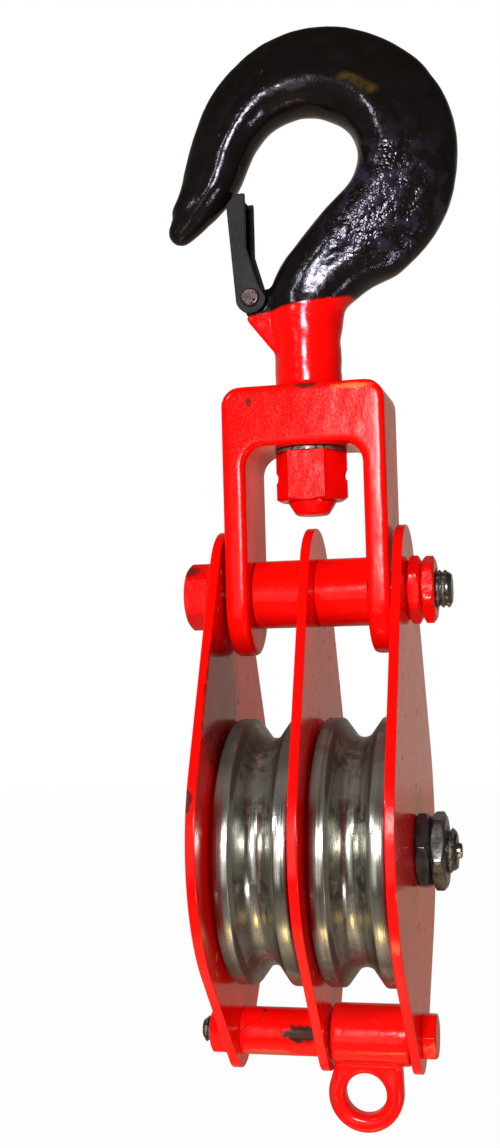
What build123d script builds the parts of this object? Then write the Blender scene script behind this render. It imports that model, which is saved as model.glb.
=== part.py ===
from build123d import *
import os
from math import cos, pi, radians, sin, tan

# Swivel-hook pulley block with two sheaves, in millimetres.
# +Z runs up the hook's shank, +X along the bolts towards their nuts, and -Y is the front.
# The origin is the centre of the hook's bowl, where the load is hung.

# Levels of the three cross bolts below the bowl's centre.
AXLE_Z = -217.5
TOP_BOLT_Z = AXLE_Z + 81.0
BOTTOM_BOLT_Z = AXLE_Z - 56.7

# Running fit of a shaft in its hole, gap between parts that turn past each other, and joint gap.
RUNNING_FIT = 0.08
FREE_GAP = 0.3
SEAT_GAP = 0.05

# How far a cutting tool runs out past the stock.
CUT_PAST = 1.0

# Side plates: one flat sheet in the middle and one on each side.
PLATE_THICKNESS = 3.0
PLATE_PITCH = 28.5
PLATE_TOP_R = 18.6
PLATE_TOP_RISE = 2.0
PLATE_BOTTOM_R = 11.4
PLATE_BELLY_RISE = 4.7
OUTER_BELLY_R = 53.7
CENTRE_BELLY_R = 48.9
PLATE_EDGE_ROUND = 0.4

BAY_WIDTH = PLATE_PITCH - PLATE_THICKNESS
OUTER_FACE_X = PLATE_PITCH + PLATE_THICKNESS / 2
INNER_FACE_X = PLATE_PITCH - PLATE_THICKNESS / 2
SHEAVE_X = PLATE_PITCH / 2

# Sheaves, with a bronze bush each, turning on a steel sleeve that is clamped between the plates.
SHEAVE_R = 41.5
SHEAVE_WIDTH = 23.0
GROOVE_BOTTOM_R = 35.3
GROOVE_MOUTH = 13.0
GROOVE_ROUND_R = 4.2
GROOVE_WALL_ANGLE = 30.0
SHEAVE_EDGE_CHAMFER = 0.8
WEB_INNER_R = 18.5
WEB_OUTER_R = 31.5
WEB_RECESS = 4.0
WEB_DRAFT = 1.0
BUSH_R = 13.0
SLEEVE_R = 10.0
AXLE_R = 8.0

# Hex fasteners: thread radius, width across flats, head or nut height.
AXLE_THREAD_R = 7.0
AXLE_HEX = 22.0
AXLE_HEAD_HEIGHT = 8.5
AXLE_NUT_HEIGHT = 4.5
AXLE_END_X = 42.4
NIPPLE_R = 2.4
NIPPLE_STEM_R = 1.8
NIPPLE_HEIGHT = 1.4
NIPPLE_DEPTH = 6.0

TOP_BOLT_R = 6.0
TOP_HEX = 19.0
TOP_HEAD_HEIGHT = 7.5
TOP_WASHER_R = 11.0
TOP_WASHER_THICKNESS = 3.5
TOP_NUT_HEIGHT = 4.1
TOP_BOLT_END_X = 43.4

BOTTOM_BOLT_R = 4.0
BOTTOM_HEX = 13.0
BOTTOM_HEAD_HEIGHT = 4.4
BOTTOM_NUT_HEIGHT = 6.8
BOTTOM_BOLT_END_X = -40.0
HEX_CHAMFER_ANGLE = 30.0

# How far each hex was turned when it was last tightened, in degrees.
AXLE_HEAD_TURN = 12.0
AXLE_NUT_TURN = 18.0
AXLE_LOCK_NUT_TURN = 38.0
TOP_NUT_TURN = 4.0
TOP_LOCK_NUT_TURN = -9.0
BOTTOM_HEAD_TURN = 21.0
BOTTOM_NUT_TURN = 26.0
THREAD_CHAMFER = 1.0

TOP_SPACER_R = 10.8
BOTTOM_SPACER_R = 7.3

# Yoke: a forged bail whose cross-piece carries the shank and whose legs hang on the top bolt.
YOKE_TOP_Z = -71.4
YOKE_UNDER_Z = -90.4
YOKE_HALF_WIDTH = 25.8
YOKE_LEG_THICKNESS = 7.2
YOKE_HALF_DEPTH = 15.5
YOKE_OUTER_ROUND = 6.0
YOKE_INNER_ROUND = 6.5
YOKE_EDGE_ROUND = 1.5
YOKE_LEG_END_DROP = 4.0

# Shank, nut and thrust washer under the cross-piece.
SHANK_R = 10.7
SPIGOT_R = 8.0
SHANK_TOP_Z = -58.0
WASHER_R = 11.4
WASHER_THICKNESS = 1.0
HOOK_NUT_HEX = 20.0
HOOK_NUT_HEIGHT = 15.5
SPIGOT_END_R = 5.2
SPIGOT_END_LENGTH = 4.6
NUT_PIN_R = 1.5
HOOK_NUT_TOP_Z = YOKE_UNDER_Z - FREE_GAP - WASHER_THICKNESS
HOOK_NUT_END_Z = HOOK_NUT_TOP_Z - HOOK_NUT_HEIGHT
NUT_PIN_Z = HOOK_NUT_TOP_Z - HOOK_NUT_HEIGHT / 2

# Hook forging: stations from the neck round the bowl to the nose.
# Each is the inner edge (x, z), the outer edge (x, z) and the thickness across the hook.
HOOK_STATIONS = (
    ((-11.6, -52.5), (11.2, -52.5), 21.6),
    ((-12.6, -45.0), (13.0, -45.2), 21.8),
    ((-11.2, -37.5), (20.0, -40.0), 22.2),
    ((-5.8, -28.0), (31.2, -35.0), 23.0),
    ((4.2, -16.8), (41.0, -25.6), 23.6),
    ((14.4, -7.0), (47.8, -11.6), 24.0),
    ((18.0, 3.4), (49.8, 5.4), 24.0),
    ((15.0, 11.4), (42.8, 26.4), 23.6),
    ((6.6, 17.0), (24.8, 41.8), 22.8),
    ((-3.4, 17.6), (-2.2, 46.0), 21.6),
    ((-12.4, 12.8), (-23.4, 35.0), 20.0),
    ((-18.2, 4.2), (-35.6, 16.2), 18.2),
    ((-22.2, -4.0), (-40.2, 0.2), 16.4),
    ((-26.2, -8.9), (-42.2, -5.4), 14.8),
    ((-30.8, -13.4), (-44.2, -9.8), 12.6),
    ((-37.9, -19.2), (-44.6, -13.4), 8.8),
)
NOSE_R = 4.25

# Latch: a channel pressed from sheet, on a pin through a lug at the hook's throat.
PIVOT_X = -17.0
PIVOT_Z = -41.5
LATCH_SHEET = 1.6
LATCH_HALF_WIDTH = 7.2
LATCH_CHEEK_R = 5.0
LATCH_OUTLINE = (
    (-21.8, -41.5),
    (-24.2, -10.8),
    (-21.4, -7.4),
    (-18.1, -7.4),
    (-18.1, -25.0),
    (-14.8, -36.6),
    (-12.0, -41.5),
)
WEB_END_RISE = 3.4
LUG_R = 3.2
LUG_ROOT_X = -6.4
LUG_ROOT_R = 4.2
LUG_HALF_WIDTH = 2.6
NECK_WEB_HALF = 6.5
NECK_WEB_TOE_X = -17.9
NECK_WEB_TOE_Z = -48.1
NECK_WEB_TOE_R = 0.8
NECK_WEB_FOOT_X = -8.4
NECK_WEB_FOOT_R = 2.2
PIN_R = 1.7
PIN_HEAD_R = 3.0
PIN_HEAD_HEIGHT = 1.2
SPRING_WIRE_R = 0.4
SPRING_COIL_R = 2.4
SPRING_TURNS = 2.0
SPRING_PITCH = 0.88
SPRING_SIDE_GAP = 0.1
SPRING_ARM = 13.0

# Becket: a barrel on the bottom bolt with a flat eye forged onto it.
BARREL_R = 9.3
BARREL_START_X = 2.0
BARREL_END_X = 26.4
EYE_X = 11.7
EYE_DROP = 18.0
EYE_R = 11.7
EYE_HOLE_R = 6.4
EYE_THICKNESS = 7.2
EYE_EDGE_ROUND = 2.0
NECK_START_X = 6.2
NECK_END_X = 22.8


def disc(radius, x_from, x_to, z=0.0):
    """Round bar along X between two places."""
    bar = extrude(Plane.YZ.offset(x_from) * Circle(radius), x_to - x_from)
    return Pos(0, 0, z) * bar


def tube(outer_r, inner_r, x_from, x_to, z):
    return disc(outer_r, x_from, x_to, z) - disc(inner_r, x_from - CUT_PAST, x_to + CUT_PAST, z)


def hex_body(flats, height):
    """Hex prism standing on the XY plane, its far corners turned down to the flats' circle."""
    corner_r = flats / 2 / cos(pi / 6)
    prism = extrude(RegularPolygon(corner_r, 6), height)
    drop = (corner_r - flats / 2) * tan(radians(HEX_CHAMFER_ANGLE))
    turned = Cylinder(corner_r, height - drop, align=(Align.CENTER, Align.CENTER, Align.MIN))
    cone = Cone(corner_r, flats / 2, drop, align=(Align.CENTER, Align.CENTER, Align.MIN))
    return prism & (turned + Pos(0, 0, height - drop) * cone)


def hex_on_x(flats, x_seat, height, z, facing=1, turn=0.0):
    """Hex head or nut on a bolt along X, seated at x_seat, pointing along +X or -X, turned about X."""
    body = Rot(turn, 0, 0) * Rot(0, 90 * facing, 0) * hex_body(flats, height)
    return Pos(x_seat, 0, z) * body


def threaded_end(radius, x_from, x_to, z):
    """Bolt end along X with a chamfered tip."""
    step = THREAD_CHAMFER if x_to > x_from else -THREAD_CHAMFER
    low, high = sorted((x_from, x_to - step))
    bar = disc(radius, low, high, z)
    turn = 90 if step > 0 else -90
    tip = Cone(radius, radius - THREAD_CHAMFER, THREAD_CHAMFER, align=(Align.CENTER, Align.CENTER, Align.MIN))
    return bar + Pos(x_to - step, 0, z) * Rot(0, turn, 0) * tip


def nut_on_x(flats, x_from, height, z, thread_r, turn=0.0):
    """Hex nut along X with both ends chamfered, turned about X by some angle."""
    nut = hex_on_x(flats, x_from, height, z, 1, turn)
    nut = nut & hex_on_x(flats, x_from + height, height, z, -1, turn)
    return nut - disc(thread_r, x_from - CUT_PAST, x_from + height + CUT_PAST, z)


def hook_plane(inner, outer):
    """Plane across the forging, X running from its inner to its outer edge, at the middle."""
    start = Vector(inner[0], 0, inner[1])
    across = Vector(outer[0], 0, outer[1]) - start
    return Plane(origin=start + across * 0.5, x_dir=across, z_dir=across.cross(Vector(0, 1, 0)))


def hook_section(inner, outer, thickness):
    """Elliptical section of the forging between its inner and outer edge."""
    width = (Vector(*outer) - Vector(*inner)).length
    return hook_plane(inner, outer) * Ellipse(width / 2, thickness / 2)


def make_hook():
    """Forging swept round the bowl, with a round nose, the shank, its spigot and the lug."""
    shank_station = ((-SHANK_R, SHANK_TOP_Z), (SHANK_R, SHANK_TOP_Z), 2 * SHANK_R)
    stations = (shank_station, *HOOK_STATIONS)
    planes = [hook_plane(inner, outer) for inner, outer, thickness in stations]
    spine = Spline(
        *[plane.origin for plane in planes], tangents=(planes[0].z_dir, planes[-1].z_dir)
    )
    body = sweep([hook_section(*station) for station in stations], path=spine, multisection=True)
    body += Pos(planes[-1].origin) * Sphere(NOSE_R)
    shoulder_z = YOKE_TOP_Z + FREE_GAP
    body += extrude(Plane.XY.offset(shoulder_z) * Circle(SHANK_R), SHANK_TOP_Z - shoulder_z)
    spigot_end_z = HOOK_NUT_END_Z - SPIGOT_END_LENGTH
    body += extrude(Plane.XY.offset(HOOK_NUT_END_Z) * Circle(SPIGOT_R), shoulder_z - HOOK_NUT_END_Z)
    taper = Cone(SPIGOT_END_R, SPIGOT_R, SPIGOT_END_LENGTH, align=(Align.CENTER, Align.CENTER, Align.MIN))
    body += Pos(0, 0, spigot_end_z) * taper
    body += make_lug()
    pin_hole = Pos(PIVOT_X, 0, PIVOT_Z) * Rot(90, 0, 0) * Cylinder(PIN_R + RUNNING_FIT, 6 * LUG_HALF_WIDTH)
    return body - pin_hole - disc(NUT_PIN_R, -HOOK_NUT_HEX, HOOK_NUT_HEX, NUT_PIN_Z)


def make_lug():
    """Flat lug for the latch pin, and the web that carries it down into the neck."""
    outline = make_hull(
        (
            Pos(PIVOT_X, PIVOT_Z) * Circle(LUG_R).edge(),
            Pos(LUG_ROOT_X, PIVOT_Z) * Circle(LUG_ROOT_R).edge(),
        )
    )
    lug = extrude(Plane.XZ * outline, LUG_HALF_WIDTH, both=True)
    web_outline = make_hull(
        (
            Pos(NECK_WEB_TOE_X, NECK_WEB_TOE_Z) * Circle(NECK_WEB_TOE_R).edge(),
            Pos(NECK_WEB_FOOT_X, SHANK_TOP_Z) * Circle(NECK_WEB_FOOT_R).edge(),
            Pos(LUG_ROOT_X, PIVOT_Z) * Circle(LUG_R).edge(),
        )
    )
    web = extrude(Plane.XZ * web_outline, NECK_WEB_HALF, both=True)
    web -= Pos(PIVOT_X, 0, PIVOT_Z) * Rot(90, 0, 0) * Cylinder(LATCH_CHEEK_R + FREE_GAP, 4 * NECK_WEB_HALF)
    return lug + web


def make_latch():
    """Channel open towards the bowl, its two cheeks rounded about the pin."""
    sides = Polyline(*LATCH_OUTLINE)
    bottom = ThreePointArc(LATCH_OUTLINE[-1], (PIVOT_X, PIVOT_Z - LATCH_CHEEK_R), LATCH_OUTLINE[0])
    outline = make_face(Curve() + [sides, bottom])
    channel = extrude(Plane.XZ * outline, LATCH_HALF_WIDTH, both=True)
    hollow = extrude(
        Plane.XZ * (Pos(LATCH_SHEET, 0) * outline + Pos(4 * LATCH_SHEET, 0) * outline),
        LATCH_HALF_WIDTH - LATCH_SHEET,
        both=True,
    )
    pin_hole = Pos(PIVOT_X, 0, PIVOT_Z) * Rot(90, 0, 0) * Cylinder(PIN_R, 4 * LATCH_HALF_WIDTH)
    # The sheet between the cheeks stops above the pivot, so that it swings clear of the lug.
    below = Pos(PIVOT_X, 0, PIVOT_Z + WEB_END_RISE - 2 * LATCH_CHEEK_R) * Box(
        4 * LATCH_CHEEK_R, 2 * (LATCH_HALF_WIDTH - LATCH_SHEET), 4 * LATCH_CHEEK_R
    )
    return channel - hollow - below - pin_hole


def make_latch_pin():
    """Rivet along Y with a low round head at each end."""
    head_y = LATCH_HALF_WIDTH + PIN_HEAD_HEIGHT / 2
    rivet = Cylinder(PIN_R, 2 * LATCH_HALF_WIDTH)
    for side in (-1, 1):
        head = Cylinder(PIN_HEAD_R, PIN_HEAD_HEIGHT)
        rim = head.edges().sort_by(Axis.Z)[-1 if side > 0 else 0]
        rivet += Pos(0, 0, side * head_y) * fillet(rim, PIN_HEAD_HEIGHT / 2)
    return Pos(PIVOT_X, 0, PIVOT_Z) * Rot(90, 0, 0) * rivet


def make_latch_spring():
    """Two short coils on the pin, one each side of the lug, joined by a loop along the latch."""
    coil_length = SPRING_PITCH * SPRING_TURNS
    coil_start = LUG_HALF_WIDTH + SPRING_WIRE_R + SPRING_SIDE_GAP
    wire = Circle(SPRING_WIRE_R)
    spring = None
    for side in (-1, 1):
        helix = Helix(SPRING_PITCH, coil_length, SPRING_COIL_R, lefthand=side < 0)
        coil = sweep(Plane(origin=helix @ 0, z_dir=helix % 0) * wire, helix, is_frenet=True)
        coil = Rot(-90 * side, 0, 0) * Rot(0, 0, 180) * coil
        placed = Pos(PIVOT_X, side * coil_start, PIVOT_Z) * coil
        arm_y = side * coil_start
        foot = Vector(PIVOT_X - SPRING_COIL_R, arm_y, PIVOT_Z)
        top = foot + Vector(0, 0, SPRING_ARM)
        arm = sweep(Plane(origin=foot, z_dir=(0, 0, 1)) * wire, Line(foot, top))
        placed += arm + Pos(top) * Sphere(SPRING_WIRE_R) + Pos(foot) * Sphere(SPRING_WIRE_R)
        spring = placed if spring is None else spring + placed
    bridge_start = Vector(PIVOT_X - SPRING_COIL_R, -coil_start, PIVOT_Z + SPRING_ARM)
    bridge_end = Vector(PIVOT_X - SPRING_COIL_R, coil_start, PIVOT_Z + SPRING_ARM)
    bridge = sweep(Plane(origin=bridge_start, z_dir=(0, 1, 0)) * wire, Line(bridge_start, bridge_end))
    return spring + bridge


def make_thrust_washer():
    top_z = YOKE_UNDER_Z - FREE_GAP
    ring = Circle(WASHER_R) - Circle(SPIGOT_R)
    return extrude(Plane.XY.offset(top_z - WASHER_THICKNESS) * ring, WASHER_THICKNESS)


def make_hook_nut():
    """Hex nut on the shank's threaded end, cross-drilled for its locking pin."""
    nut = Pos(0, 0, HOOK_NUT_TOP_Z) * Rot(180, 0, 0) * hex_body(HOOK_NUT_HEX, HOOK_NUT_HEIGHT)
    bore = Pos(0, 0, NUT_PIN_Z) * Cylinder(SPIGOT_R, 2 * HOOK_NUT_HEIGHT)
    return nut - bore - disc(NUT_PIN_R, -HOOK_NUT_HEX, HOOK_NUT_HEX, NUT_PIN_Z)


def make_hook_nut_pin():
    return disc(NUT_PIN_R, -HOOK_NUT_HEX / 2, HOOK_NUT_HEX / 2, NUT_PIN_Z)


def make_yoke():
    """Flat bail: its arch seen from the front, met by the rounded side view of its legs."""
    height = YOKE_TOP_Z - TOP_BOLT_Z + YOKE_LEG_END_DROP + YOKE_HALF_DEPTH
    outer = Pos(0, YOKE_TOP_Z - height / 2) * Rectangle(2 * YOKE_HALF_WIDTH, height)
    outer = fillet(outer.vertices().group_by(Axis.Y)[-1], YOKE_OUTER_ROUND)
    gap_half = YOKE_HALF_WIDTH - YOKE_LEG_THICKNESS
    gap = Pos(0, YOKE_UNDER_Z - height / 2) * Rectangle(2 * gap_half, height)
    gap = fillet(gap.vertices().group_by(Axis.Y)[-1], YOKE_INNER_ROUND)
    bail = extrude(Plane.XZ * (outer - gap), YOKE_HALF_DEPTH, both=True)
    top_bar = Rectangle(2 * YOKE_HALF_DEPTH, YOKE_OUTER_ROUND, align=(Align.CENTER, Align.MAX))
    leg_end = Pos(0, TOP_BOLT_Z - YOKE_LEG_END_DROP) * Circle(YOKE_HALF_DEPTH)
    side_view = make_hull((leg_end.edge(), *(Pos(0, YOKE_TOP_Z) * top_bar).edges()))
    bail = bail & extrude(Plane.YZ * side_view, YOKE_HALF_WIDTH, both=True)
    faces = bail.faces().filter_by(Axis.Y)
    bail = fillet([edge for face in faces for edge in face.edges().filter_by(Plane.XZ)], YOKE_EDGE_ROUND)
    bail -= Pos(0, 0, YOKE_UNDER_Z) * Cylinder(SPIGOT_R + RUNNING_FIT, 4 * YOKE_HALF_DEPTH)
    return bail - disc(TOP_BOLT_R + RUNNING_FIT, -2 * YOKE_HALF_WIDTH, 2 * YOKE_HALF_WIDTH, TOP_BOLT_Z)


def make_plate(x, belly_r):
    """Flat pear-shaped cheek, the hull of three circles round its bolts."""
    outline = make_hull(
        (
            Pos(0, TOP_BOLT_Z + PLATE_TOP_RISE) * Circle(PLATE_TOP_R).edge(),
            Pos(0, AXLE_Z + PLATE_BELLY_RISE) * Circle(belly_r).edge(),
            Pos(0, BOTTOM_BOLT_Z) * Circle(PLATE_BOTTOM_R).edge(),
        )
    )
    plate = extrude(Plane.YZ.offset(x - PLATE_THICKNESS / 2) * outline, PLATE_THICKNESS)
    rims = plate.faces().filter_by(Axis.X)
    plate = fillet([edge for face in rims for edge in face.edges()], PLATE_EDGE_ROUND)
    for radius, z in ((TOP_BOLT_R, TOP_BOLT_Z), (AXLE_R, AXLE_Z), (BOTTOM_BOLT_R, BOTTOM_BOLT_Z)):
        plate -= disc(radius, x - PLATE_THICKNESS, x + PLATE_THICKNESS, z)
    return plate


def make_sheave(x):
    """Turned sheave: flat rim lands, a round-bottomed rope groove and a recessed web."""
    half = SHEAVE_WIDTH / 2
    rim = SHEAVE_R - SHEAVE_EDGE_CHAMFER
    side = half - SHEAVE_EDGE_CHAMFER
    groove_centre_r = GROOVE_BOTTOM_R + GROOVE_ROUND_R
    slope = radians(GROOVE_WALL_ANGLE)
    wall_x = GROOVE_ROUND_R * cos(slope)
    wall_r = groove_centre_r - GROOVE_ROUND_R * sin(slope)
    groove = Curve() + [
        Line((-GROOVE_MOUTH / 2, SHEAVE_R), (-wall_x, wall_r)),
        ThreePointArc((-wall_x, wall_r), (0, GROOVE_BOTTOM_R), (wall_x, wall_r)),
        Line((wall_x, wall_r), (GROOVE_MOUTH / 2, SHEAVE_R)),
    ]
    web = half - WEB_RECESS
    right = Polyline(
        (GROOVE_MOUTH / 2, SHEAVE_R), (side, SHEAVE_R), (half, rim), (half, WEB_OUTER_R),
        (web, WEB_OUTER_R - WEB_DRAFT), (web, WEB_INNER_R + WEB_DRAFT),
        (half, WEB_INNER_R), (half, BUSH_R),
    )
    left = Polyline(
        (-half, BUSH_R), (-half, WEB_INNER_R),
        (-web, WEB_INNER_R + WEB_DRAFT), (-web, WEB_OUTER_R - WEB_DRAFT),
        (-half, WEB_OUTER_R), (-half, rim), (-side, SHEAVE_R), (-GROOVE_MOUTH / 2, SHEAVE_R),
    )
    bore = Line((half, BUSH_R), (-half, BUSH_R))
    profile = make_face(groove + right + bore + left)
    return Pos(x, 0, AXLE_Z) * revolve(profile, Axis.X)


def make_axle():
    """Axle bolt: hex head on the left, plain journal between the plates, thread on the right."""
    axle = disc(AXLE_R, -OUTER_FACE_X, OUTER_FACE_X - SEAT_GAP, AXLE_Z)
    axle += hex_on_x(AXLE_HEX, -OUTER_FACE_X, AXLE_HEAD_HEIGHT, AXLE_Z, -1, AXLE_HEAD_TURN)
    axle += threaded_end(AXLE_THREAD_R, OUTER_FACE_X - THREAD_CHAMFER, AXLE_END_X, AXLE_Z)
    return axle - disc(NIPPLE_STEM_R, AXLE_END_X - NIPPLE_DEPTH, AXLE_END_X + CUT_PAST, AXLE_Z)


def make_grease_nipple():
    """Button-head nipple pressed into the axle's end."""
    stem = disc(NIPPLE_STEM_R, AXLE_END_X - NIPPLE_DEPTH, AXLE_END_X, AXLE_Z)
    head = disc(NIPPLE_R, AXLE_END_X, AXLE_END_X + NIPPLE_HEIGHT, AXLE_Z)
    head = fillet(head.edges().sort_by(Axis.X)[-1], NIPPLE_HEIGHT / 2)
    return stem + head


def make_top_bolt():
    head_x = -OUTER_FACE_X - TOP_WASHER_THICKNESS
    bolt = hex_on_x(TOP_HEX, head_x, TOP_HEAD_HEIGHT, TOP_BOLT_Z, -1)
    return bolt + threaded_end(TOP_BOLT_R, head_x, TOP_BOLT_END_X, TOP_BOLT_Z)


def make_bottom_bolt():
    bolt = hex_on_x(BOTTOM_HEX, OUTER_FACE_X, BOTTOM_HEAD_HEIGHT, BOTTOM_BOLT_Z, 1, BOTTOM_HEAD_TURN)
    return bolt + threaded_end(BOTTOM_BOLT_R, OUTER_FACE_X, BOTTOM_BOLT_END_X, BOTTOM_BOLT_Z)


def make_top_spacer(side):
    """Tube on the top bolt between the centre plate and one yoke leg."""
    near = PLATE_THICKNESS / 2
    far = YOKE_HALF_WIDTH - YOKE_LEG_THICKNESS - FREE_GAP
    low, high = sorted((side * near, side * far))
    return tube(TOP_SPACER_R, TOP_BOLT_R, low, high, TOP_BOLT_Z)


def make_becket():
    """Eye for the rope's dead end: barrel, short neck and a flat ring facing front and back."""
    barrel = disc(BARREL_R, BARREL_START_X, BARREL_END_X, BOTTOM_BOLT_Z)
    rims = barrel.edges().filter_by(GeomType.CIRCLE)
    barrel = fillet(rims, THREAD_CHAMFER)
    eye_z = BOTTOM_BOLT_Z - EYE_DROP
    neck_width = NECK_END_X - NECK_START_X
    neck_root = Pos((NECK_START_X + NECK_END_X) / 2, BOTTOM_BOLT_Z) * Rectangle(neck_width, EYE_THICKNESS)
    outline = make_hull((Pos(EYE_X, eye_z) * Circle(EYE_R).edge(), *neck_root.edges()))
    eye = extrude(Plane.XZ * outline, EYE_THICKNESS / 2, both=True)
    eye -= Pos(EYE_X, 0, eye_z) * Rot(90, 0, 0) * Cylinder(EYE_HOLE_R, 2 * EYE_THICKNESS)
    eye = fillet(eye.edges().filter_by(Plane.XZ), EYE_EDGE_ROUND)
    body = barrel + eye
    return body - disc(BOTTOM_BOLT_R + RUNNING_FIT, 0, PLATE_PITCH, BOTTOM_BOLT_Z)


def make_parts():
    axle_nut_x = OUTER_FACE_X + SEAT_GAP
    lock_nut_x = axle_nut_x + AXLE_NUT_HEIGHT + FREE_GAP
    top_nut_x = OUTER_FACE_X + SEAT_GAP
    top_lock_x = top_nut_x + TOP_NUT_HEIGHT + FREE_GAP
    bottom_nut_x = -OUTER_FACE_X - SEAT_GAP - BOTTOM_NUT_HEIGHT
    washer_x = -OUTER_FACE_X - TOP_WASHER_THICKNESS
    parts = {
        "hook": make_hook(),
        "hook_latch": make_latch(),
        "latch_pin": make_latch_pin(),
        "latch_spring": make_latch_spring(),
        "thrust_washer": make_thrust_washer(),
        "hook_nut": make_hook_nut(),
        "hook_nut_pin": make_hook_nut_pin(),
        "yoke": make_yoke(),
        "side_plate_left": make_plate(-PLATE_PITCH, OUTER_BELLY_R),
        "side_plate_centre": make_plate(0, CENTRE_BELLY_R),
        "side_plate_right": make_plate(PLATE_PITCH, OUTER_BELLY_R),
        "top_bolt": make_top_bolt(),
        "top_bolt_washer": tube(TOP_WASHER_R, TOP_BOLT_R, washer_x, -OUTER_FACE_X, TOP_BOLT_Z),
        "top_bolt_nut": nut_on_x(
            TOP_HEX, top_nut_x, TOP_NUT_HEIGHT, TOP_BOLT_Z, TOP_BOLT_R, TOP_NUT_TURN
        ),
        "top_bolt_lock_nut": nut_on_x(
            TOP_HEX, top_lock_x, TOP_NUT_HEIGHT, TOP_BOLT_Z, TOP_BOLT_R, TOP_LOCK_NUT_TURN
        ),
        "axle": make_axle(),
        "axle_nut": nut_on_x(
            AXLE_HEX, axle_nut_x, AXLE_NUT_HEIGHT, AXLE_Z, AXLE_THREAD_R, AXLE_NUT_TURN
        ),
        "axle_lock_nut": nut_on_x(
            AXLE_HEX, lock_nut_x, AXLE_NUT_HEIGHT, AXLE_Z, AXLE_THREAD_R, AXLE_LOCK_NUT_TURN
        ),
        "grease_nipple": make_grease_nipple(),
        "bottom_bolt": make_bottom_bolt(),
        "bottom_bolt_nut": nut_on_x(
            BOTTOM_HEX, bottom_nut_x, BOTTOM_NUT_HEIGHT, BOTTOM_BOLT_Z, BOTTOM_BOLT_R, BOTTOM_NUT_TURN
        ),
        "bottom_spacer": tube(
            BOTTOM_SPACER_R, BOTTOM_BOLT_R, -INNER_FACE_X, -PLATE_THICKNESS / 2, BOTTOM_BOLT_Z
        ),
        "becket_eye": make_becket(),
    }
    for name, side in (("left", -1), ("right", 1)):
        x = side * SHEAVE_X
        half = SHEAVE_WIDTH / 2
        parts[f"top_spacer_{name}"] = make_top_spacer(side)
        parts[f"sheave_{name}"] = make_sheave(x)
        parts[f"sheave_bush_{name}"] = tube(BUSH_R, SLEEVE_R + RUNNING_FIT, x - half, x + half, AXLE_Z)
        sleeve_half = BAY_WIDTH / 2
        parts[f"axle_sleeve_{name}"] = tube(SLEEVE_R, AXLE_R, x - sleeve_half, x + sleeve_half, AXLE_Z)
    return parts


os.makedirs("parts", exist_ok=True)
for node, shape in make_parts().items():
    export_step(shape, f"parts/{node}.step")
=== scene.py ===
import bmesh
import bpy
import numpy as np
from math import cos, pi, radians, sin, tan
from mathutils import Matrix, Vector, noise


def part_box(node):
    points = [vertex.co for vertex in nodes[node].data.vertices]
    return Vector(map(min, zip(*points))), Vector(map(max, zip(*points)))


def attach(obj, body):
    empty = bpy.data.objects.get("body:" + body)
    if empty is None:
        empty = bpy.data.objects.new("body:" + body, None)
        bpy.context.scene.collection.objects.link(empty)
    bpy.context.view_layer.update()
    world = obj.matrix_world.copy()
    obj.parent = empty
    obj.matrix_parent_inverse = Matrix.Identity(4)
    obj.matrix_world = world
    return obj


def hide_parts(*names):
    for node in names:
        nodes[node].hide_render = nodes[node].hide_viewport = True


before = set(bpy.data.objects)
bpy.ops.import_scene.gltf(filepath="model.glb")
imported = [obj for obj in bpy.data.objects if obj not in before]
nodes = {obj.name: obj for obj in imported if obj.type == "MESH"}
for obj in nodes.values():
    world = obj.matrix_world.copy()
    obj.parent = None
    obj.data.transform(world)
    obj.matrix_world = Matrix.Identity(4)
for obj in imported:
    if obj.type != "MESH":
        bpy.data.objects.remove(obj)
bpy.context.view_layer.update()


def middle(node):
    low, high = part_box(node)
    return (low + high) / 2


axle_z = middle("sheave_left").z
top_bolt_z = middle("top_bolt").z
bottom_bolt_z = middle("bottom_bolt").z

# Camera: a long look from a little right of the front, level with the top of the cheeks.
# A plain camera with no depth of field, tilted up three degrees.
camera_at = Vector((0.0823, -0.4466, -0.1538))
camera_right = Vector((0.9735, 0.2269, -0.0268))
camera_up = Vector((0.0381, -0.0454, 0.9982))
camera_lens = 44.72

camera_data = bpy.data.cameras.new("camera")
camera_data.lens = camera_lens
camera_data.clip_start = 0.01
camera = bpy.data.objects.new("camera", camera_data)
backwards = camera_right.cross(camera_up)
axes = Matrix((camera_right, camera_up, backwards)).transposed()
camera.matrix_world = Matrix.Translation(camera_at) @ axes.to_4x4()
bpy.context.scene.collection.objects.link(camera)
bpy.context.scene.camera = camera
bpy.context.scene.view_settings.view_transform = "Standard"

# Floor and room: a pale matt floor below the hanging block, in a white room.
# The room is bright round the horizon and dim overhead; off camera the floor reflects little and glows, a
# painted warm bounce light, dim in front and strongest behind the block.
floor_mesh = bpy.data.meshes.new("floor")
floor_size = 6.0
floor_level = -0.80
corners = ((-1, -1), (1, -1), (1, 1), (-1, 1))
spread = [(x * floor_size, y * floor_size, floor_level) for x, y in corners]
floor_mesh.from_pydata(spread, [], [(0, 1, 2, 3)])
floor = bpy.data.objects.new("floor", floor_mesh)
bpy.context.scene.collection.objects.link(floor)
floor_paint = bpy.data.materials.new("floor paint")
floor_paint.use_nodes = True
floor_tree = floor_paint.node_tree
floor_shader = floor_tree.nodes["Principled BSDF"]
floor_shader.inputs["Base Color"].default_value = (0.30, 0.27, 0.23, 1)
floor_shader.inputs["Emission Strength"].default_value = 0.36
# Painted bounce light: the floor's glow runs from dark grey in front to warm white behind the block.
floor_glow = floor_tree.nodes.new("ShaderNodeValToRGB")
floor_glow.color_ramp.elements[0].position = 0.47
floor_glow.color_ramp.elements[0].color = (0.16, 0.15, 0.13, 1)
floor_glow.color_ramp.elements[1].position = 0.56
floor_glow.color_ramp.elements[1].color = (1.0, 0.80, 0.60, 1)
floor_place = floor_tree.nodes.new("ShaderNodeSeparateXYZ")
floor_depth = floor_tree.nodes.new("ShaderNodeMapRange")
floor_depth.inputs["From Min"].default_value = -floor_size
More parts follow.
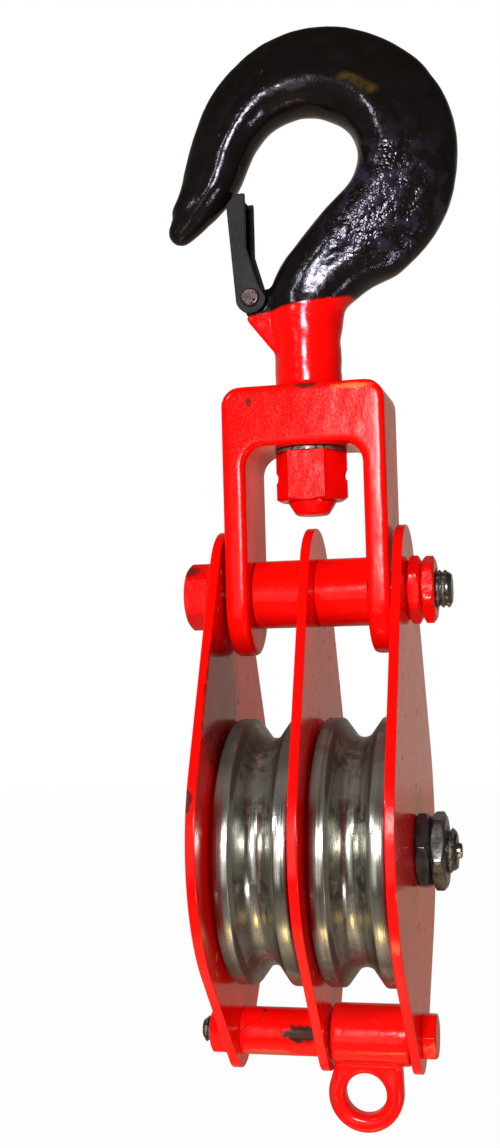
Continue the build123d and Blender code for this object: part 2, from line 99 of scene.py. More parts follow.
floor_depth.inputs["From Max"].default_value = floor_size
floor_tree.links.new(floor_tree.nodes.new("ShaderNodeTexCoord").outputs["Object"], floor_place.inputs[0])
floor_tree.links.new(floor_place.outputs["Y"], floor_depth.inputs["Value"])
floor_tree.links.new(floor_depth.outputs[0], floor_glow.inputs[0])
floor_tree.links.new(floor_glow.outputs[0], floor_shader.inputs["Emission Color"])
floor_shader.inputs["Roughness"].default_value = 0.9
floor_shader.inputs["Specular IOR Level"].default_value = 0.0
seen_floor = floor_tree.nodes.new("ShaderNodeEmission")
seen_floor.inputs["Color"].default_value = (0.985, 0.985, 0.985, 1)
floor_mix = floor_tree.nodes.new("ShaderNodeMixShader")
floor_ray = floor_tree.nodes.new("ShaderNodeLightPath")
floor_tree.links.new(floor_ray.outputs["Is Camera Ray"], floor_mix.inputs[0])
floor_tree.links.new(floor_shader.outputs[0], floor_mix.inputs[1])
floor_tree.links.new(seen_floor.outputs[0], floor_mix.inputs[2])
floor_tree.links.new(floor_mix.outputs[0], floor_tree.nodes["Material Output"].inputs["Surface"])
floor_mesh.materials.append(floor_paint)

room = bpy.data.worlds.new("room")
room.use_nodes = True
bpy.context.scene.world = room
room_tree = room.node_tree
room_tree.nodes.clear()
direction = room_tree.nodes.new("ShaderNodeTexCoord")
split = room_tree.nodes.new("ShaderNodeSeparateXYZ")
room_tree.links.new(direction.outputs["Generated"], split.inputs[0])
height_ramp = room_tree.nodes.new("ShaderNodeValToRGB")
height_stops = ((0.0, 1.15), (0.40, 1.0), (0.60, 0.25), (1.0, 0.10))
for index, (place, level) in enumerate(height_stops):
    stops = height_ramp.color_ramp.elements
    stop = stops[index] if index < 2 else stops.new(place)
    stop.position = place
    stop.color = (level, level * 0.86, level * 0.70, 1)
room_tree.links.new(split.outputs["Z"], height_ramp.inputs[0])
depth_ramp = room_tree.nodes.new("ShaderNodeMapRange")
for label, value in (("From Min", -0.3), ("From Max", 0.7), ("To Min", 0.11), ("To Max", 0.42)):
    depth_ramp.inputs[label].default_value = value
room_tree.links.new(split.outputs["Y"], depth_ramp.inputs["Value"])
side_ramp = room_tree.nodes.new("ShaderNodeMapRange")
for label, value in (("From Min", 0.30), ("From Max", 0.75), ("To Min", 1.0), ("To Max", 0.25)):
    side_ramp.inputs[label].default_value = value
room_tree.links.new(split.outputs["X"], side_ramp.inputs["Value"])
room_level = room_tree.nodes.new("ShaderNodeMath")
room_level.operation = "MULTIPLY"
room_tree.links.new(depth_ramp.outputs[0], room_level.inputs[0])
room_tree.links.new(side_ramp.outputs[0], room_level.inputs[1])
lit_room = room_tree.nodes.new("ShaderNodeBackground")
room_tree.links.new(height_ramp.outputs[0], lit_room.inputs["Color"])
room_tree.links.new(room_level.outputs[0], lit_room.inputs["Strength"])
seen_room = room_tree.nodes.new("ShaderNodeBackground")
seen_room.inputs["Color"].default_value = (1, 1, 1, 1)
room_ray = room_tree.nodes.new("ShaderNodeLightPath")
room_mix = room_tree.nodes.new("ShaderNodeMixShader")
room_tree.links.new(room_ray.outputs["Is Camera Ray"], room_mix.inputs[0])
room_tree.links.new(lit_room.outputs[0], room_mix.inputs[1])
room_tree.links.new(seen_room.outputs[0], room_mix.inputs[2])
room_out = room_tree.nodes.new("ShaderNodeOutputWorld")
room_tree.links.new(room_mix.outputs[0], room_out.inputs[0])


# Lamps: soft boxes behind and beside the camera, two low warm ones for the sheaves, and one for the back.
# Each is a flat panel aimed at a point on the block; the back one stays out of reflections.
def soft_box(name, place, aim, width, height, power, tint=(1, 1, 1), in_gloss=True):
    lamp = bpy.data.lights.new(name, "AREA")
    lamp.shape = "RECTANGLE"
    lamp.size = width
    lamp.size_y = height
    lamp.energy = power
    lamp.color = tint
    holder = bpy.data.objects.new(name, lamp)
    holder.location = place
    holder.visible_glossy = in_gloss
    holder.rotation_euler = (Vector(aim) - Vector(place)).to_track_quat("-Z", "Y").to_euler()
    bpy.context.scene.collection.objects.link(holder)


soft_box("key lamp", (0.02, -1.0, 0.04), (0, 0, -0.14), 0.20, 0.20, 12.5)
soft_box("left lamp", (-0.50, -0.85, 0.28), (0, 0, -0.05), 0.14, 0.10, 2.2)
soft_box("white card", (-0.19, -1.0, -0.29), (-0.01, 0, -0.22), 0.20, 0.60, 0.85)
soft_box("low lamp", (0.50, -0.48, -0.58), (0.03, 0, -0.03), 0.16, 0.05, 1.3, (0.96, 0.93, 1.0))
soft_box("under lamp", (0.0, -0.10, -0.62), (0, 0, -0.22), 0.40, 0.30, 0.30, (1.0, 0.78, 0.45))
soft_box("back lamp", (0.25, 1.0, 0.20), (0, 0, -0.14), 0.40, 0.40, 4.5, in_gloss=False)
soft_box("warm glint", (0.0, -0.20, -0.60), (0, -0.03, -0.26), 0.10, 0.05, 0.22, (1.0, 0.62, 0.25))


# Finishes: one shader group holds the wear that the red, black and oiled finishes share.
# It gives a varied colour, chips down to a second colour, the roughness and the height of the skin.
def new_group(name, inputs, outputs):
    group = bpy.data.node_groups.new(name, "ShaderNodeTree")
    for label, kind, value in inputs:
        socket = group.interface.new_socket(name=label, in_out="INPUT", socket_type=kind)
        socket.default_value = value
    for label, kind in outputs:
        group.interface.new_socket(name=label, in_out="OUTPUT", socket_type=kind)
    return group, group.nodes.new("NodeGroupInput"), group.nodes.new("NodeGroupOutput")


def set_or_link(tree, socket, value):
    if isinstance(value, tuple):
        socket.default_value = (*value, 1) if len(socket.default_value) == 4 else value
    elif isinstance(value, (int, float)):
        socket.default_value = value
    else:
        tree.links.new(value, socket)


def maths(tree, operation, a, b=0.0):
    node = tree.nodes.new("ShaderNodeMath")
    node.operation = operation
    set_or_link(tree, node.inputs[0], a)
    set_or_link(tree, node.inputs[1], b)
    return node.outputs[0]


def plus(tree, a, b):
    return maths(tree, "ADD", a, b)


def minus(tree, a, b):
    return maths(tree, "SUBTRACT", a, b)


def times(tree, a, b):
    return maths(tree, "MULTIPLY", a, b)


def noise_at(tree, place, scale, detail=3.0, rough=0.5):
    node = tree.nodes.new("ShaderNodeTexNoise")
    tree.links.new(place, node.inputs["Vector"])
    set_or_link(tree, node.inputs["Scale"], scale)
    node.inputs["Detail"].default_value = detail
    node.inputs["Roughness"].default_value = rough
    return node.outputs["Fac"]


def remap(tree, value, low, high, to_low=0.0, to_high=1.0):
    node = tree.nodes.new("ShaderNodeMapRange")
    node.interpolation_type = "SMOOTHSTEP"
    for label, number in (("From Min", low), ("From Max", high), ("To Min", to_low), ("To Max", to_high)):
        set_or_link(tree, node.inputs[label], number)
    tree.links.new(value, node.inputs["Value"])
    return node.outputs[0]


def mix_colours(tree, share, a, b):
    node = tree.nodes.new("ShaderNodeMix")
    node.data_type = "RGBA"
    set_or_link(tree, node.inputs["Factor"], share)
    set_or_link(tree, node.inputs[6], a)
    set_or_link(tree, node.inputs[7], b)
    return node.outputs[2]


finish_wear, wear_in, wear_out = new_group(
    "finish wear",
    [
        ("Coat Colour", "NodeSocketColor", (0.8, 0.01, 0.005, 1)),
        ("Thin Colour", "NodeSocketColor", (0.5, 0.01, 0.005, 1)),
        ("Chip Colour", "NodeSocketColor", (0.05, 0.03, 0.02, 1)),
        ("Grime Colour", "NodeSocketColor", (0.01, 0.007, 0.005, 1)),
        ("Patch Scale", "NodeSocketFloat", 60.0),
        ("Chip Scale", "NodeSocketFloat", 260.0),
        ("Chip Amount", "NodeSocketFloat", 0.1),
        ("Edge Wear", "NodeSocketFloat", 0.3),
        ("Grime Amount", "NodeSocketFloat", 0.1),
        ("Coat Roughness", "NodeSocketFloat", 0.2),
    ],
    [("Colour", "NodeSocketColor"), ("Roughness", "NodeSocketFloat"), ("Height", "NodeSocketFloat")],
)
dust_scale = 1100.0
wear = finish_wear
settings = wear_in.outputs
where = wear.nodes.new("ShaderNodeTexCoord").outputs["Object"]
patches = noise_at(wear, where, settings["Patch Scale"], 2.0, 0.55)
fine = noise_at(wear, where, settings["Chip Scale"], 4.0, 0.65)
dust = noise_at(wear, where, dust_scale, 2.0, 0.6)
bent = wear.nodes.new("ShaderNodeNewGeometry").outputs["Pointiness"]
edge = times(wear, remap(wear, bent, 0.52, 0.60), settings["Edge Wear"])
chip_level = minus(wear, minus(wear, 0.90, settings["Chip Amount"]), edge)
chip_mass = plus(wear, fine, times(wear, patches, 0.3))
chips = remap(wear, minus(wear, chip_mass, chip_level), 0.0, 0.02)
shade = remap(wear, patches, 0.3, 0.7)
colour = mix_colours(wear, shade, settings["Thin Colour"], settings["Coat Colour"])
dirty = plus(wear, remap(wear, patches, 0.48, 0.8), remap(wear, bent, 0.485, 0.42))
grime = maths(wear, "MINIMUM", times(wear, dirty, settings["Grime Amount"]), 1.0)
colour = mix_colours(wear, grime, colour, settings["Grime Colour"])
colour = mix_colours(wear, chips, colour, settings["Chip Colour"])
rough = plus(wear, settings["Coat Roughness"], times(wear, chips, 0.35))
rough = plus(wear, rough, times(wear, grime, 0.3))
rough = plus(wear, rough, remap(wear, dust, 0.3, 0.75, -0.03, 0.07))
skin_height = minus(wear, times(wear, patches, 0.5), times(wear, chips, 0.3))
skin_height = plus(wear, skin_height, times(wear, dust, 0.05))
for label, value in (("Colour", colour), ("Roughness", rough), ("Height", skin_height)):
    wear.links.new(value, wear_out.inputs[label])


def new_finish(name, lumps, specular=0.5):
    """A Principled material whose skin is a bump with lumps of that height in metres."""
    material = bpy.data.materials.new(name)
    material.use_nodes = True
    tree = material.node_tree
    shader = tree.nodes["Principled BSDF"]
    shader.inputs["Specular IOR Level"].default_value = specular
    skin = tree.nodes.new("ShaderNodeBump")
    skin.inputs["Distance"].default_value = lumps
    skin.inputs["Strength"].default_value = 0.7
    tree.links.new(skin.outputs[0], shader.inputs["Normal"])
    return material, tree, shader, skin


def worn(tree, **values):
    """The shared wear, placed in a material with its own values."""
    node = tree.nodes.new("ShaderNodeGroup")
    node.node_tree = finish_wear
    for label, value in values.items():
        set_or_link(tree, node.inputs[label.replace("_", " ")], value)
    return node.outputs


def smudge(tree, colour, spot, reach, stain_and_light, share=1.0, softness=0.0):
    """A coloured mark round one spot of a piece, a stain, painted highlight or painted shade, broken up at
    its rim; reach is its half size each way.
    """
    where = tree.nodes.new("ShaderNodeTexCoord").outputs["Object"]
    offset = tree.nodes.new("ShaderNodeVectorMath")
    offset.operation = "SUBTRACT"
    tree.links.new(where, offset.inputs[0])
    offset.inputs[1].default_value = spot
    scaled = tree.nodes.new("ShaderNodeVectorMath")
    scaled.operation = "DIVIDE"
    tree.links.new(offset.outputs[0], scaled.inputs[0])
    scaled.inputs[1].default_value = reach
    length = tree.nodes.new("ShaderNodeVectorMath")
    length.operation = "LENGTH"
    tree.links.new(scaled.outputs[0], length.inputs[0])
    ragged = plus(tree, length.outputs["Value"], times(tree, noise_at(tree, where, 330.0, 4.0, 0.6), 1.1))
    mask = times(tree, remap(tree, ragged, 1.5, 1.1 - softness), share)
    return mix_colours(tree, mask, colour, stain_and_light)


def enamel(name, lumps, specular=0.10, stains_and_painted_light=(), **values):
    """A coat over steel with the shared wear; each mark, a stain, a painted highlight or a painted shade, is
    a smudge's spot, reach, colour and share.
    """
    material, tree, shader, skin = new_finish(name, lumps, specular)
    wear = worn(tree, **values)
    colour = wear["Colour"]
    for spot, reach, stain_and_light, share in stains_and_painted_light:
        colour = smudge(tree, colour, spot, reach, stain_and_light, share)
    tree.links.new(colour, shader.inputs["Base Color"])
    tree.links.new(wear["Roughness"], shader.inputs["Roughness"])
    tree.links.new(wear["Height"], skin.inputs["Height"])
    return material


def make_metal(material, share):
    material.node_tree.nodes["Principled BSDF"].inputs["Metallic"].default_value = share


def coat(node, material):
    """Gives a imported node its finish."""
    mesh = nodes[node].data
    mesh.materials.clear()
    mesh.materials.append(material)


# Hook: a drop forging, dipped in gloss black down to the neck, whose shank is sprayed with the yoke.
# Its section is fullest a third of the way out from the bowl, and thins outwards from that ridge.
mm = 0.001
hook_rows = (
    (-10.7, -58.0, 10.7, -58.0),
    (-11.6, -52.5, 11.2, -52.5),
    (-12.6, -45.0, 13.0, -45.2),
    (-11.2, -37.5, 20.0, -40.0),
    (-5.8, -28.0, 31.2, -35.0),
    (4.2, -16.8, 41.0, -25.6),
    (14.4, -7.0, 47.8, -11.6),
    (18.0, 3.4, 49.8, 5.4),
    (15.0, 11.4, 42.8, 26.4),
    (6.6, 17.0, 24.8, 41.8),
    (-3.4, 17.6, -2.2, 46.0),
    (-12.4, 12.8, -23.4, 35.0),
    (-18.2, 4.2, -35.6, 16.2),
    (-22.2, -4.0, -40.2, 0.2),
    (-26.2, -8.9, -42.2, -5.4),
    (-30.8, -13.4, -44.2, -9.8),
    (-37.9, -19.2, -44.6, -13.4),
)
# Fullness of the section from the bowl's side (-1) to the outside (1), against a plain ellipse.
hook_fullness = (
    (-1.0, 1.28), (-0.75, 1.17), (-0.42, 1.085), (-0.34, 1.06), (0.0, 0.885), (0.45, 0.79),
    (0.8, 0.80), (1.0, 0.85),
)
hook_round_rows = 2.0
hook_full_rows = 4.5
forging_lump = 0.00022
forging_scale = 95.0
shank_top = -0.066
neck_top = -0.056
forging_grain = 0.0008


def merged_copy(node, name):
    """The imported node's own surface as a new piece, with its loose triangles joined up."""
    mesh = nodes[node].data.copy()
    mesh.materials.clear()
    if "custom_normal" in mesh.attributes:
        mesh.attributes.remove(mesh.attributes["custom_normal"])
    shell = bmesh.new()
    shell.from_mesh(mesh)
    bmesh.ops.remove_doubles(shell, verts=shell.verts, dist=1e-6)
    shell.to_mesh(mesh)
    shell.free()
    piece = bpy.data.objects.new(name, mesh)
    bpy.context.scene.collection.objects.link(piece)
    return piece


def apply_modifiers(piece):
    """Turns the piece's live modifiers into its plain mesh."""
    evaluated = piece.evaluated_get(bpy.context.evaluated_depsgraph_get())
    mesh = bpy.data.meshes.new_from_object(evaluated)
    piece.modifiers.clear()
    piece.data = mesh
    return piece


def forge(piece, grain, passes):
    """Melts the piece's parts into one skin of that grain size, with rounded edges and blended roots."""
    skin = piece.modifiers.new("skin", "REMESH")
    skin.mode = "VOXEL"
    skin.voxel_size = grain
    rounding = piece.modifiers.new("rounding", "SMOOTH")
    rounding.factor = 0.5
    rounding.iterations = passes
    apply_modifiers(piece)
    piece.data.shade_smooth()
    return piece


def curve_through(rows, steps):
    """Smooth run through the rows, each split into that many steps."""
    out = []
    for i in range(len(rows) - 1):
        before, start = rows[max(i - 1, 0)], rows[i]
        end, after = rows[i + 1], rows[min(i + 2, len(rows) - 1)]
        for k in range(steps):
            t = k / steps
            out.append((i + t, [
                0.5 * (2 * b + (c - a) * t + (2 * a - 5 * b + 4 * c - d) * t ** 2
                       + (3 * b - a - 3 * c + d) * t ** 3)
                for a, b, c, d in zip(before, start, end, after)
            ]))
    return out


def finish_piece(piece, material, body, slot, *replaced):
    piece.data.materials.clear()
    piece.data.materials.append(material)
    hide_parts(*replaced)
    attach(piece, body)
    return piece


hook = forge(merged_copy("hook", "forged_hook"), forging_grain, 4)
rest = np.empty(len(hook.data.vertices) * 3)
hook.data.vertices.foreach_get("co", rest)
rest = rest.reshape(-1, 3)
nearest = np.full(len(rest), 1.0)
row_of = np.zeros(len(rest))
side_of = np.zeros(len(rest))
for row, (x0, z0, x1, z1) in curve_through(hook_rows, 10):
    start, across = np.array((x0, z0)) * mm, np.array((x1 - x0, z1 - z0)) * mm
    off = rest[:, ::2] - start
    share = off @ across / (across @ across)
    miss = np.linalg.norm(off - np.clip(share, 0, 1)[:, None] * across, axis=1)
    closer = miss < nearest
    nearest[closer], row_of[closer], side_of[closer] = miss[closer], row, 2 * share[closer] - 1
fullness = np.interp(side_of, *zip(*hook_fullness))
strength = np.clip((row_of - hook_round_rows) / (hook_full_rows - hook_round_rows), 0, 1)
strength *= np.clip((len(hook_rows) - 1.2 - row_of) / 2.5, 0.25, 1)
strength[(nearest > 0.0015) | (np.abs(side_of) > 1.02) | (rest[:, 2] < neck_top)] = 0
rest[:, 1] *= 1 + (fullness - 1) * strength
outwards = np.empty(rest.size)
hook.data.vertices.foreach_get("normal", outwards)
lumps = np.array([
    noise.noise(Vector(p) * forging_scale) + 0.5 * noise.noise(Vector(p) * forging_scale * 2.3) for p in rest
])
lumps[rest[:, 2] < shank_top] = 0
rest += outwards.reshape(-1, 3) * lumps[:, None] * forging_lump
hook.data.vertices.foreach_set("co", rest.ravel())
hook.data.update()

black_coat = (0.0035, 0.0028, 0.0024)
black_thin = (0.0065, 0.0050, 0.0045)
red_coat = (0.86, 0.0018, 0.0012)
red_thin = (0.70, 0.0024, 0.0014)
chip_brown = (0.055, 0.012, 0.006)
soot = (0.012, 0.008, 0.006)
sprayed_red = {
    "Coat_Colour": red_coat, "Thin_Colour": red_thin, "Chip_Colour": chip_brown, "Grime_Colour": soot,
}
neck_border = -0.0467
neck_slope = 0.13
brush_scale = 260.0
brush_reach = 0.0016
pit_scale = 210.0
painted_sparkle_violet = (0.019, 0.014, 0.026)
pitted_middle = (0.027, -0.010, -0.014)

hook_paint, tree, shader, skin = new_finish("hook paint", lumps=0.0012, specular=0.25)
shader.inputs["Specular Tint"].default_value = (0.86, 0.80, 1.0, 1)
black = worn(
    tree, Coat_Colour=black_coat, Thin_Colour=black_thin,
    Chip_Colour=(0.035, 0.028, 0.020), Grime_Colour=(0.014, 0.010, 0.008),
    Patch_Scale=120.0, Chip_Scale=420.0, Chip_Amount=0.04, Edge_Wear=0.10,
    Grime_Amount=0.2, Coat_Roughness=0.16,
)
red = worn(
    tree, **sprayed_red,
    Patch_Scale=75.0, Chip_Scale=330.0, Chip_Amount=0.03, Edge_Wear=0.08, Grime_Amount=0.05,
    Coat_Roughness=0.14,
)
where = tree.nodes.new("ShaderNodeTexCoord").outputs["Object"]
split = tree.nodes.new("ShaderNodeSeparateXYZ")
tree.links.new(where, split.inputs[0])
border = plus(tree, times(tree, split.outputs["X"], neck_slope), neck_border)
border = plus(tree, border, times(tree, noise_at(tree, where, brush_scale, 3.0, 0.6), brush_reach))
is_black = remap(tree, minus(tree, split.outputs["Z"], border), 0.0002, 0.0013)
colour = mix_colours(tree, is_black, red["Colour"], black["Colour"])
# Painted highlight: a golden glint, a run of soft gold-brown smudges on the front of the hook's upper right.
painted_gold_glint = (0.17, 0.10, 0.02)
gold_glint_reach = (0.0044, 0.006, 0.0026)
gold_glint_run = ((0.0165, 0.0252), (0.0190, 0.0238), (0.0215, 0.0222), (0.0238, 0.0203))
for x, z in gold_glint_run:
    colour = smudge(tree, colour, (x, -0.009, z), gold_glint_reach, painted_gold_glint, 0.42, 0.75)
red_to_black = times(tree, minus(tree, black["Roughness"], red["Roughness"]), is_black)
tree.links.new(plus(tree, red_to_black, red["Roughness"]), shader.inputs["Roughness"])
from_pits = tree.nodes.new("ShaderNodeVectorMath")
from_pits.operation = "DISTANCE"
tree.links.new(where, from_pits.inputs[0])
from_pits.inputs[1].default_value = pitted_middle
pitted = remap(tree, from_pits.outputs["Value"], 0.030, 0.008)
scale_marks = noise_at(tree, where, pit_scale, 3.0, 0.6)
# Painted highlight: the pitted black is tinted violet on the raised scale marks, standing in for violet
# sparkle.
violet_sparkle_share = times(tree, times(tree, pitted, is_black), remap(tree, scale_marks, 0.45, 0.62))
colour = mix_colours(tree, violet_sparkle_share, colour, painted_sparkle_violet)
tree.links.new(colour, shader.inputs["Base Color"])
pits = times(tree, scale_marks, plus(tree, times(tree, pitted, 1.1), 0.22))
pits = times(tree, pits, is_black)
tree.links.new(plus(tree, times(tree, black["Height"], 0.35), pits), skin.inputs["Height"])
finish_piece(hook, hook_paint, "hook", "black_paint", "hook")

# Latch: a channel pressed from sheet and painted black, on a rivet through the hook's lug.
# Its bends are rounded by the press; the rivet has worn bright; the spring is drawn wire.
def soften(piece, width, angle=28, segments=2):
    """Rounds the piece's sharp edges by a small radius, as a file or a press would."""
    clean = bmesh.new()
    clean.from_mesh(piece.data)
    bmesh.ops.dissolve_limit(clean, angle_limit=radians(0.6), verts=clean.verts, edges=clean.edges)
    clean.to_mesh(piece.data)
    clean.free()
    rounding = piece.modifiers.new("rounding", "BEVEL")
    rounding.limit_method = "ANGLE"
    rounding.angle_limit = radians(angle)
    rounding.width = width
    rounding.segments = segments
    rounding.use_clamp_overlap = True
    rounding.harden_normals = True
    piece.data.shade_smooth()
    return apply_modifiers(piece)


latch_black = enamel(
    "latch black", lumps=0.0004, specular=0.12, Coat_Colour=(0.004, 0.0035, 0.0035),
    Thin_Colour=(0.007, 0.006, 0.006), Chip_Colour=(0.03, 0.022, 0.02),
    Grime_Colour=(0.010, 0.008, 0.007), Patch_Scale=200.0, Chip_Scale=700.0, Chip_Amount=0.03,
    Edge_Wear=0.12, Grime_Amount=0.3, Coat_Roughness=0.42,
)
latch = soften(merged_copy("hook_latch", "latch_channel"), 0.0004, segments=3)
finish_piece(latch, latch_black, "latch", "black_paint", "hook_latch")

oiled_steel = enamel(
    "oiled steel", lumps=0.0004, specular=0.5, Coat_Colour=(0.045, 0.043, 0.042),
    Thin_Colour=(0.10, 0.095, 0.09), Chip_Colour=(0.20, 0.16, 0.12), Grime_Colour=(0.012, 0.01, 0.009),
    Patch_Scale=190.0, Chip_Scale=700.0, Chip_Amount=0.05, Edge_Wear=0.22, Grime_Amount=0.7,
    Coat_Roughness=0.26,
)
make_metal(oiled_steel, 0.75)
rivet_steel = enamel(
    "worn rivet", lumps=0.0003, specular=0.5, Coat_Colour=(0.075, 0.045, 0.045),
    Thin_Colour=(0.03, 0.02, 0.022), Chip_Colour=(0.01, 0.008, 0.008),
    Grime_Colour=(0.012, 0.01, 0.009), Patch_Scale=320.0, Chip_Scale=900.0, Chip_Amount=0.12,
    Edge_Wear=0.1, Grime_Amount=0.8, Coat_Roughness=0.3,
)
make_metal(rivet_steel, 0.8)
coat("latch_pin", rivet_steel)
spring_wire = enamel(
    "spring wire", lumps=0.0001, specular=0.5, Coat_Colour=(0.30, 0.28, 0.26),
    Thin_Colour=(0.16, 0.14, 0.12), Chip_Colour=(0.10, 0.04, 0.02), Grime_Colour=(0.02, 0.016, 0.012),
    Patch_Scale=300.0, Chip_Scale=900.0, Chip_Amount=0.12, Edge_Wear=0.0, Grime_Amount=0.8,
    Coat_Roughness=0.3,
)
make_metal(spring_wire, 1.0)
coat("latch_spring", spring_wire)

# Yoke: a forged bail that carries the hook's shank; its arch and leg ends are rounded by the die.
# Sprayed red over the scale, thin on its corners and chipped where the hook's collar rubs; a painted orange
# highlight lies on the cross-piece's right top edge, and painted shade darkens the left leg's inner face.
red_enamel = enamel(
    "red enamel", lumps=0.0010, **sprayed_red, Patch_Scale=75.0, Chip_Scale=330.0, Chip_Amount=0.03,
    Edge_Wear=0.08, Grime_Amount=0.05, Coat_Roughness=0.14,
)
yoke_red = enamel(
    "yoke red", lumps=0.0010, specular=0.10,
    stains_and_painted_light=(
        ((0.0015, -0.013, -0.0725), (0.0060, 0.005, 0.0016), chip_brown, 0.9),
        ((-0.0165, -0.0155, -0.0765), (0.0014, 0.004, 0.0020), chip_brown, 0.8),
        # Painted highlight: an orange streak along the right part of the cross-piece's top front edge.
        ((0.0160, -0.0140, -0.0735), (0.0080, 0.006, 0.0012), (0.75, 0.16, 0.03), 0.7),
        # Painted shade: the left leg's inner face, beside the hook nut, is darkened to a deep red.
        ((-0.0150, 0.0, -0.105), (0.0035, 0.02, 0.018), (0.10, 0.010, 0.006), 0.5),
    ),
    **sprayed_red, Patch_Scale=62.0, Chip_Scale=300.0, Chip_Amount=0.04, Edge_Wear=0.10,
    Grime_Amount=0.05, Coat_Roughness=0.14,
)
yoke = forge(merged_copy("yoke", "forged_yoke"), forging_grain, 3)
finish_piece(yoke, yoke_red, "yoke", "red_paint", "yoke")

# Hook nut and thrust washer: a hex nut locked by a cross pin, under the yoke's cross-piece.
# The nut and the pin's ends were sprayed with the yoke; the washer is plain oiled steel.
shank_nut = soften(merged_copy("hook_nut", "shank_nut"), 0.0006, segments=3)
finish_piece(shank_nut, red_enamel, "hook", "red_paint", "hook_nut")
coat("thrust_washer", oiled_steel)
coat("hook_nut_pin", red_enamel)

# Cheeks: three pear-shaped plates punched from 3 mm sheet, sprayed red over both faces.
# Their edges keep a thick rounded coat; sooty marks sit where the block has been handled, and a painted shade
# darkens the left cheek's inner face.
cheek_soot_and_shade = (
    ((-0.0300, -0.0520, -0.1960), (0.0030, 0.004, 0.0055), soot, 0.85),
    # Painted shade: the left cheek's inner face, between the cheeks, is darkened to a deep red.
    ((-0.0270, -0.020, -0.170), (0.0015, 0.030, 0.028), (0.09, 0.004, 0.003), 0.8),
)
cheek_red = enamel(
    "cheek red", lumps=0.00045, specular=0.20, stains_and_painted_light=cheek_soot_and_shade, Coat_Colour=red_coat,
    Thin_Colour=red_thin, Chip_Colour=(0.62, 0.16, 0.04), Grime_Colour=soot, Patch_Scale=40.0,
    Chip_Scale=260.0, Chip_Amount=0.0, Edge_Wear=0.10, Grime_Amount=0.05, Coat_Roughness=0.14,
)
for node in ("side_plate_left", "side_plate_centre", "side_plate_right"):
    coat(node, cheek_red)


# Cross bolts and nuts: standard hexagon hardware, black from the works; the top set is sprayed over.
# Threads are rolled ridges on a thinner core, and the nuts are chamfered on both faces.
def lathe(name, rings, sides, turn=0.0):
    """Closed ring-by-ring mesh along X: each ring is a function of the angle giving its x and radius."""
    points = []
    faces = []
    for ring in rings:
        for k in range(sides):
            angle = 2 * pi * k / sides
            x, radius = ring(angle)
            points.append((x, -radius * sin(angle + turn), radius * cos(angle + turn)))
    count = len(rings)
    for i in range(count):
        for k in range(sides):
            a, b = i * sides + k, i * sides + (k + 1) % sides
            c, d = (i + 1) % count * sides + (k + 1) % sides, (i + 1) % count * sides + k
            faces.append((a, b, c, d))
    mesh = bpy.data.meshes.new(name)
    mesh.from_pydata(points, [], faces)
    clean = bmesh.new()
    clean.from_mesh(mesh)
    bmesh.ops.remove_doubles(clean, verts=clean.verts, dist=1e-7)
    bmesh.ops.recalc_face_normals(clean, faces=clean.faces)
    clean.to_mesh(mesh)
    clean.free()
    piece = bpy.data.objects.new(name, mesh)
    bpy.context.scene.collection.objects.link(piece)
    return piece


def raised(piece, z):
    piece.data.transform(Matrix.Translation((0, 0, z)))
    return piece


thread_share = 0.46
hex_sides = 96
hex_face_share = 0.95
corner_share = 0.982
edge_break = 0.00018
edge_angle = 20


def hex_radius(flats):
    """Radius of a hexagon with slightly rounded corners, at an angle from one corner."""
    def at(angle):
        off = (angle + pi / 6) % (pi / 3) - pi / 6
        reach = flats / 2 / cos(pi / 6 - abs(off))
        corner = flats / 2 / cos(pi / 6) * corner_share
        return min(reach, corner)
    return at


def hex_rings(flats, x_low, x_high, chamfer_low=True):
    """Outer rings of a hex from its low face to its high face, with the chamfers' curved edges."""
    radius = hex_radius(flats)
    face = flats / 2 * hex_face_share
    slope = tan(radians(30))
    rings = [lambda a: (x_low, face if chamfer_low else radius(a))]
    if chamfer_low:
        rings.append(lambda a: (x_low + (radius(a) - face) * slope, radius(a)))
    rings.append(lambda a: (x_high - (radius(a) - face) * slope, radius(a)))
    rings.append(lambda a: (x_high, face))
    return rings


def plain(x, radius):
    return lambda a: (x, radius)


def make_nut(name, flats, x_low, height, bore, turn, z):
    x_high = x_low + height
    lead = 0.0006
    inner = [
        plain(x_high, bore + lead), plain(x_high - lead, bore),
        plain(x_low + lead, bore), plain(x_low, bore + lead),
    ]
    piece = lathe(name, hex_rings(flats, x_low, x_high) + inner, hex_sides, radians(turn))
    return soften(raised(piece, z), edge_break, edge_angle)


thread_tree = bpy.data.node_groups.new("rolled thread", "GeometryNodeTree")
thread_sockets = {}
thread_inputs = (
    ("Radius", 0.006), ("Pitch", 0.00175), ("Turns", 7.0), ("Depth", 0.0008), ("Start", 0.03),
    ("Level", 0.0),
)
thread_tree.interface.new_socket(name="Geometry", in_out="INPUT", socket_type="NodeSocketGeometry")
for label, value in thread_inputs:
    socket = thread_tree.interface.new_socket(name=label, in_out="INPUT", socket_type="NodeSocketFloat")
    socket.default_value = value
    thread_sockets[label] = socket.identifier
steel_socket = thread_tree.interface.new_socket(
    name="Steel", in_out="INPUT", socket_type="NodeSocketMaterial",
)
thread_sockets["Steel"] = steel_socket.identifier
thread_tree.interface.new_socket(name="Geometry", in_out="OUTPUT", socket_type="NodeSocketGeometry")
thread_in = thread_tree.nodes.new("NodeGroupInput").outputs
spiral = thread_tree.nodes.new("GeometryNodeCurveSpiral")
spiral.inputs["Resolution"].default_value = 40
path_radius = minus(thread_tree, thread_in["Radius"], thread_in["Depth"])
thread_tree.links.new(thread_in["Turns"], spiral.inputs["Rotations"])
thread_tree.links.new(path_radius, spiral.inputs["Start Radius"])
thread_tree.links.new(path_radius, spiral.inputs["End Radius"])
thread_tree.links.new(times(thread_tree, thread_in["Pitch"], thread_in["Turns"]), spiral.inputs["Height"])
